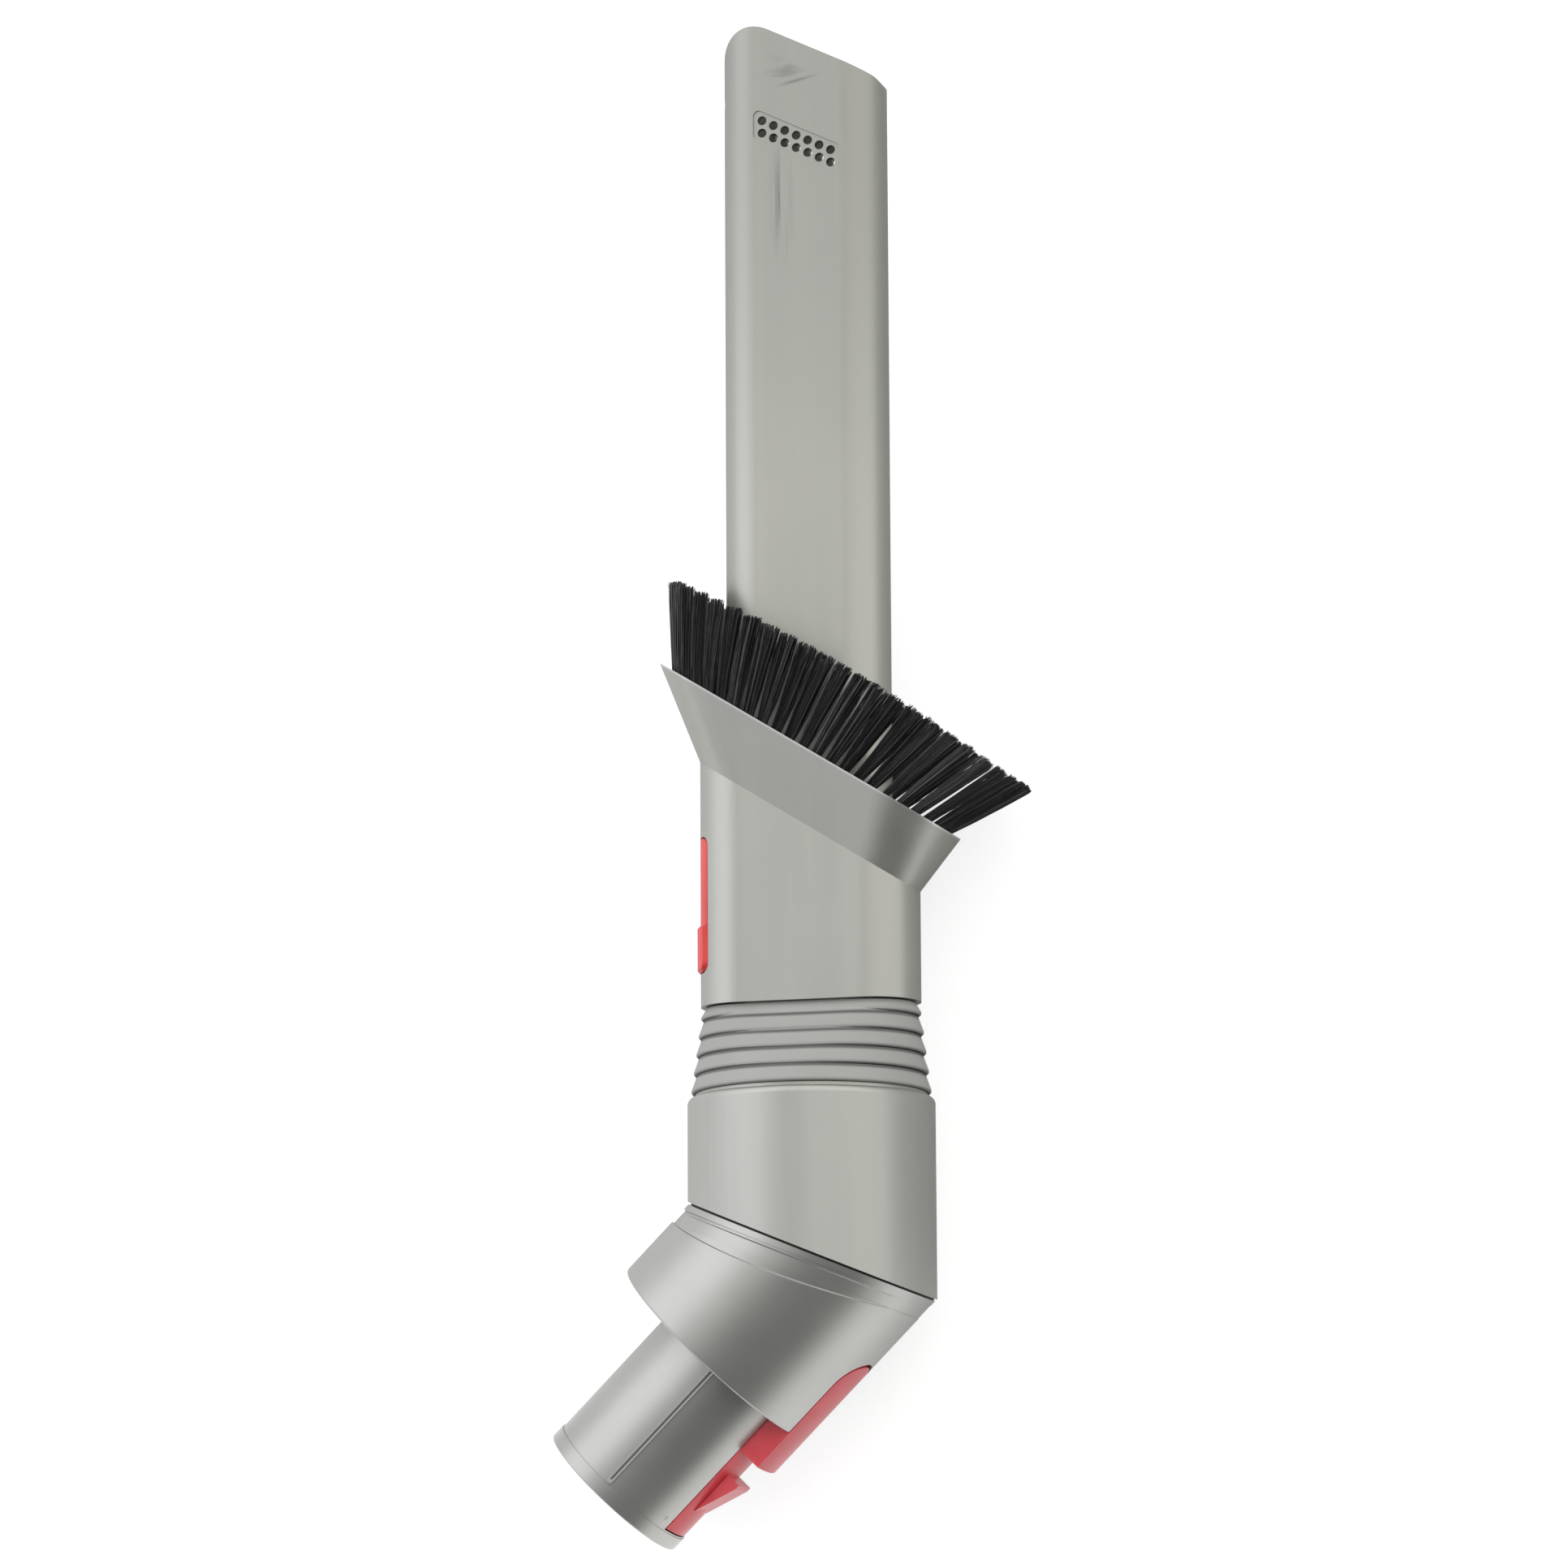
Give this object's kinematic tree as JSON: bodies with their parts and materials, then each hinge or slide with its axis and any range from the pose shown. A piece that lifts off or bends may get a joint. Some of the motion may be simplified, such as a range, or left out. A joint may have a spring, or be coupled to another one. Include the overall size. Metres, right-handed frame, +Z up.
{
  "type": "vacuum crevice tool",
  "caption": "Long flat crevice nozzle with a sliding flared brush sleeve, ribbed neck, twisting elbow and a round connector with a sprung release latch.",
  "frame": {"origin": "centre of the connector's open mouth, on its axis", "axes": "+Y along the crevice tube to its tip, +X to the low side of the slanted tip, +Z up; the tool lies on its back"},
  "size_m": [0.1044, 0.328, 0.0526],
  "materials": {
    "satin_tube": "satin",
    "soft_ribs": "matte",
    "satin_grip": "satin",
    "clip_steel": "sprung steel",
    "seal_rubber": "soft",
    "satin_collar": "satin",
    "satin_spigot": "satin",
    "red_latch": "satin",
    "pin_steel": "ground",
    "spring_steel": "drawn wire",
    "satin_sleeve": "satin",
    "red_button": "satin",
    "button_pin_steel": "ground",
    "leaf_steel": "rolled strip",
    "ring_plastic": "matte",
    "bristle_front": "nylon bristle",
    "bristle_rear": "nylon bristle",
    "bristle_left": "nylon bristle",
    "bristle_right": "nylon bristle"
  },
  "bodies": {
    "nozzle": {"crevice_tube": "satin_tube", "ribbed_neck": "soft_ribs", "grip_body": "satin_grip"},
    "brush": {"brush_sleeve": "satin_sleeve", "brush_ring": "ring_plastic", "bristles_front": "bristle_front", "bristles_rear": "bristle_rear", "bristles_left": "bristle_left", "bristles_right": "bristle_right", "button_pin": "button_pin_steel", "button_spring": "leaf_steel"},
    "button": {"slide_button": "red_button"},
    "elbow": {"elbow_collar": "satin_collar", "spigot": "satin_spigot", "swivel_clip": "clip_steel", "swivel_seal": "seal_rubber", "latch_pin": "pin_steel", "latch_spring": "spring_steel"},
    "latch": {"release_latch": "red_latch"}
  },
  "joints": [
    {"name": "brush_slide", "type": "slide", "parent": "nozzle", "child": "brush", "axis": [0, 1, 0], "range_m": [0, 0.149]},
    {"name": "button_rock", "type": "hinge", "parent": "brush", "child": "button", "pos_m": [0.02491, 0.12391, 0], "axis": [0, 0, 1], "range_deg": [0, 2.5], "stiffness_Nm_per_rad": 0.3, "springref_deg": -2.86, "deforming": ["button_spring"]},
    {"name": "elbow_swivel", "type": "hinge", "parent": "nozzle", "child": "elbow", "pos_m": [0.04391, 0.04971, 0], "axis": [0.3827, 0.9239, 0], "continuous": true},
    {"name": "latch_press", "type": "hinge", "parent": "elbow", "child": "latch", "pos_m": [0.014, -0.0058, 0], "axis": [0, 0, 1], "range_deg": [0, 4.5], "stiffness_Nm_per_rad": 2, "springref_deg": -3.44, "deforming": ["latch_spring"]}
  ]
}
